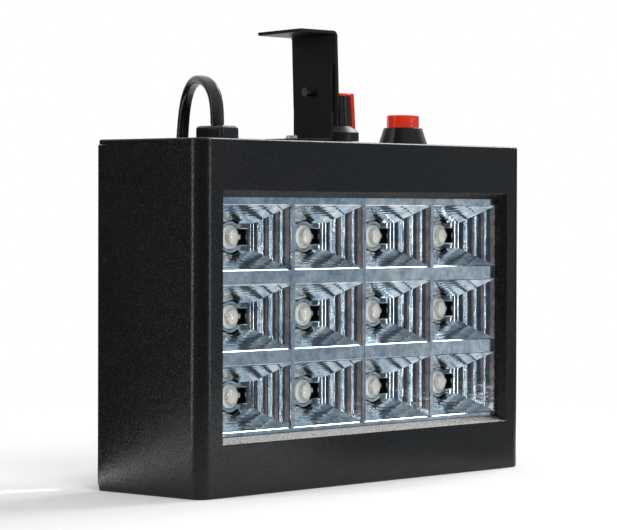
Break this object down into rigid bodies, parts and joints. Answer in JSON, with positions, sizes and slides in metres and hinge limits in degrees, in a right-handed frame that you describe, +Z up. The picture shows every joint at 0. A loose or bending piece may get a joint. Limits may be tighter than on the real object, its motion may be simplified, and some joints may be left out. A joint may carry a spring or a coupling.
{
  "type": "LED stroboscope",
  "caption": "Mains-powered black box that flashes a wide light through chromed reflector cells, with a speed knob, a push button, a folding steel bracket and a flat lead.",
  "frame": {"origin": "middle of the footprint, on the surface that the housing stands on", "axes": "+Z up, the reflectors face -Y, +X to the right seen from the front"},
  "size_m": [0.175, 0.1186, 0.162],
  "materials": {
    "housing_plastic": "fine-textured black ABS",
    "reflector_chrome": "vacuum-metallised plastic",
    "zinc_screws": "zinc-plated",
    "board_laminate": "green solder mask on glass-fibre laminate",
    "emitter_body": "cream moulding",
    "emitter_lens": "clear silicone",
    "tinned_metal": "tinned",
    "transformer_core": "varnished laminations and tape",
    "capacitor_sleeve": "shrink sleeve",
    "chip_resin": "moulded resin",
    "fuse_glass": "plated clips and caps",
    "block_plastic": "green moulding",
    "wire_insulation": "PVC insulation",
    "pot_metal": "plated die-cast case",
    "nickel": "nickel plating",
    "knob_plastic": "black, ribbed",
    "red_plastic": "red moulding",
    "button_plastic": "black moulding",
    "spring_steel": "drawn wire",
    "bushing_nylon": "black nylon",
    "cord_pvc": "black PVC sheath",
    "tie_fabric": "hook-and-loop tape",
    "plug_brass": "nickel-plated brass",
    "bracket_steel": "black satin paint on steel sheet"
  },
  "bodies": {
    "housing": {"front_shell": "housing_plastic", "rear_cover": "housing_plastic", "reflector_left": "reflector_chrome", "reflector_right": "reflector_chrome", "cover_screws": "zinc_screws", "reflector_screws": "zinc_screws", "board_screws": "zinc_screws", "driver_screws": "zinc_screws", "led_board": "board_laminate", "driver_board": "board_laminate", "led_emitters": "emitter_body", "led_lenses": "emitter_lens", "led_leads": "tinned_metal", "pot_terminals": "tinned_metal", "button_terminals": "tinned_metal", "driver_transformer": "transformer_core", "driver_capacitors": "capacitor_sleeve", "driver_chips": "chip_resin", "driver_fuse": "fuse_glass", "terminal_block": "block_plastic", "mains_wires": "wire_insulation", "led_wires": "wire_insulation", "control_wires": "wire_insulation", "speed_pot_body": "pot_metal", "pot_washer": "nickel", "pot_nut": "nickel", "foot_screw": "nickel", "foot_nut": "nickel", "button_body": "button_plastic", "button_nut": "button_plastic", "button_base": "button_plastic", "button_spring": "spring_steel", "bushing_body": "bushing_nylon", "bushing_wedge": "bushing_nylon", "cord_tail": "cord_pvc", "power_cord": "cord_pvc", "power_cord_end": "cord_pvc", "power_cord_coil": "cord_pvc", "plug_body": "cord_pvc", "cord_tie": "tie_fabric", "plug_pins": "plug_brass"},
    "knob": {"speed_pot_shaft": "pot_metal", "knob_body": "knob_plastic", "knob_cap": "red_plastic"},
    "button": {"button_cap": "red_plastic"},
    "bracket_foot": {"bracket_lower": "bracket_steel", "pivot_screw": "nickel", "pivot_washer": "nickel"},
    "bracket_arm": {"bracket_upper": "bracket_steel"}
  },
  "joints": [
    {"name": "knob_turn", "type": "hinge", "parent": "housing", "child": "knob", "pos_m": [0.009, 0, 0.1226], "axis": [0, 0, 1], "range_deg": [-150, 150]},
    {"name": "button_press", "type": "slide", "parent": "housing", "child": "button", "axis": [0, 0, -1], "range_m": [0, 0.003], "stiffness_N_per_m": 400, "springref_m": -0.002, "deforming": ["button_spring"]},
    {"name": "bracket_swivel", "type": "hinge", "parent": "housing", "child": "bracket_foot", "pos_m": [-0.0145, 0, 0.1217], "axis": [0, 0, 1], "range_deg": [-25, 25]},
    {"name": "bracket_tilt", "type": "hinge", "parent": "bracket_foot", "child": "bracket_arm", "pos_m": [-0.002, 0, 0.14], "axis": [1, 0, 0], "range_deg": [-93, 95]}
  ]
}
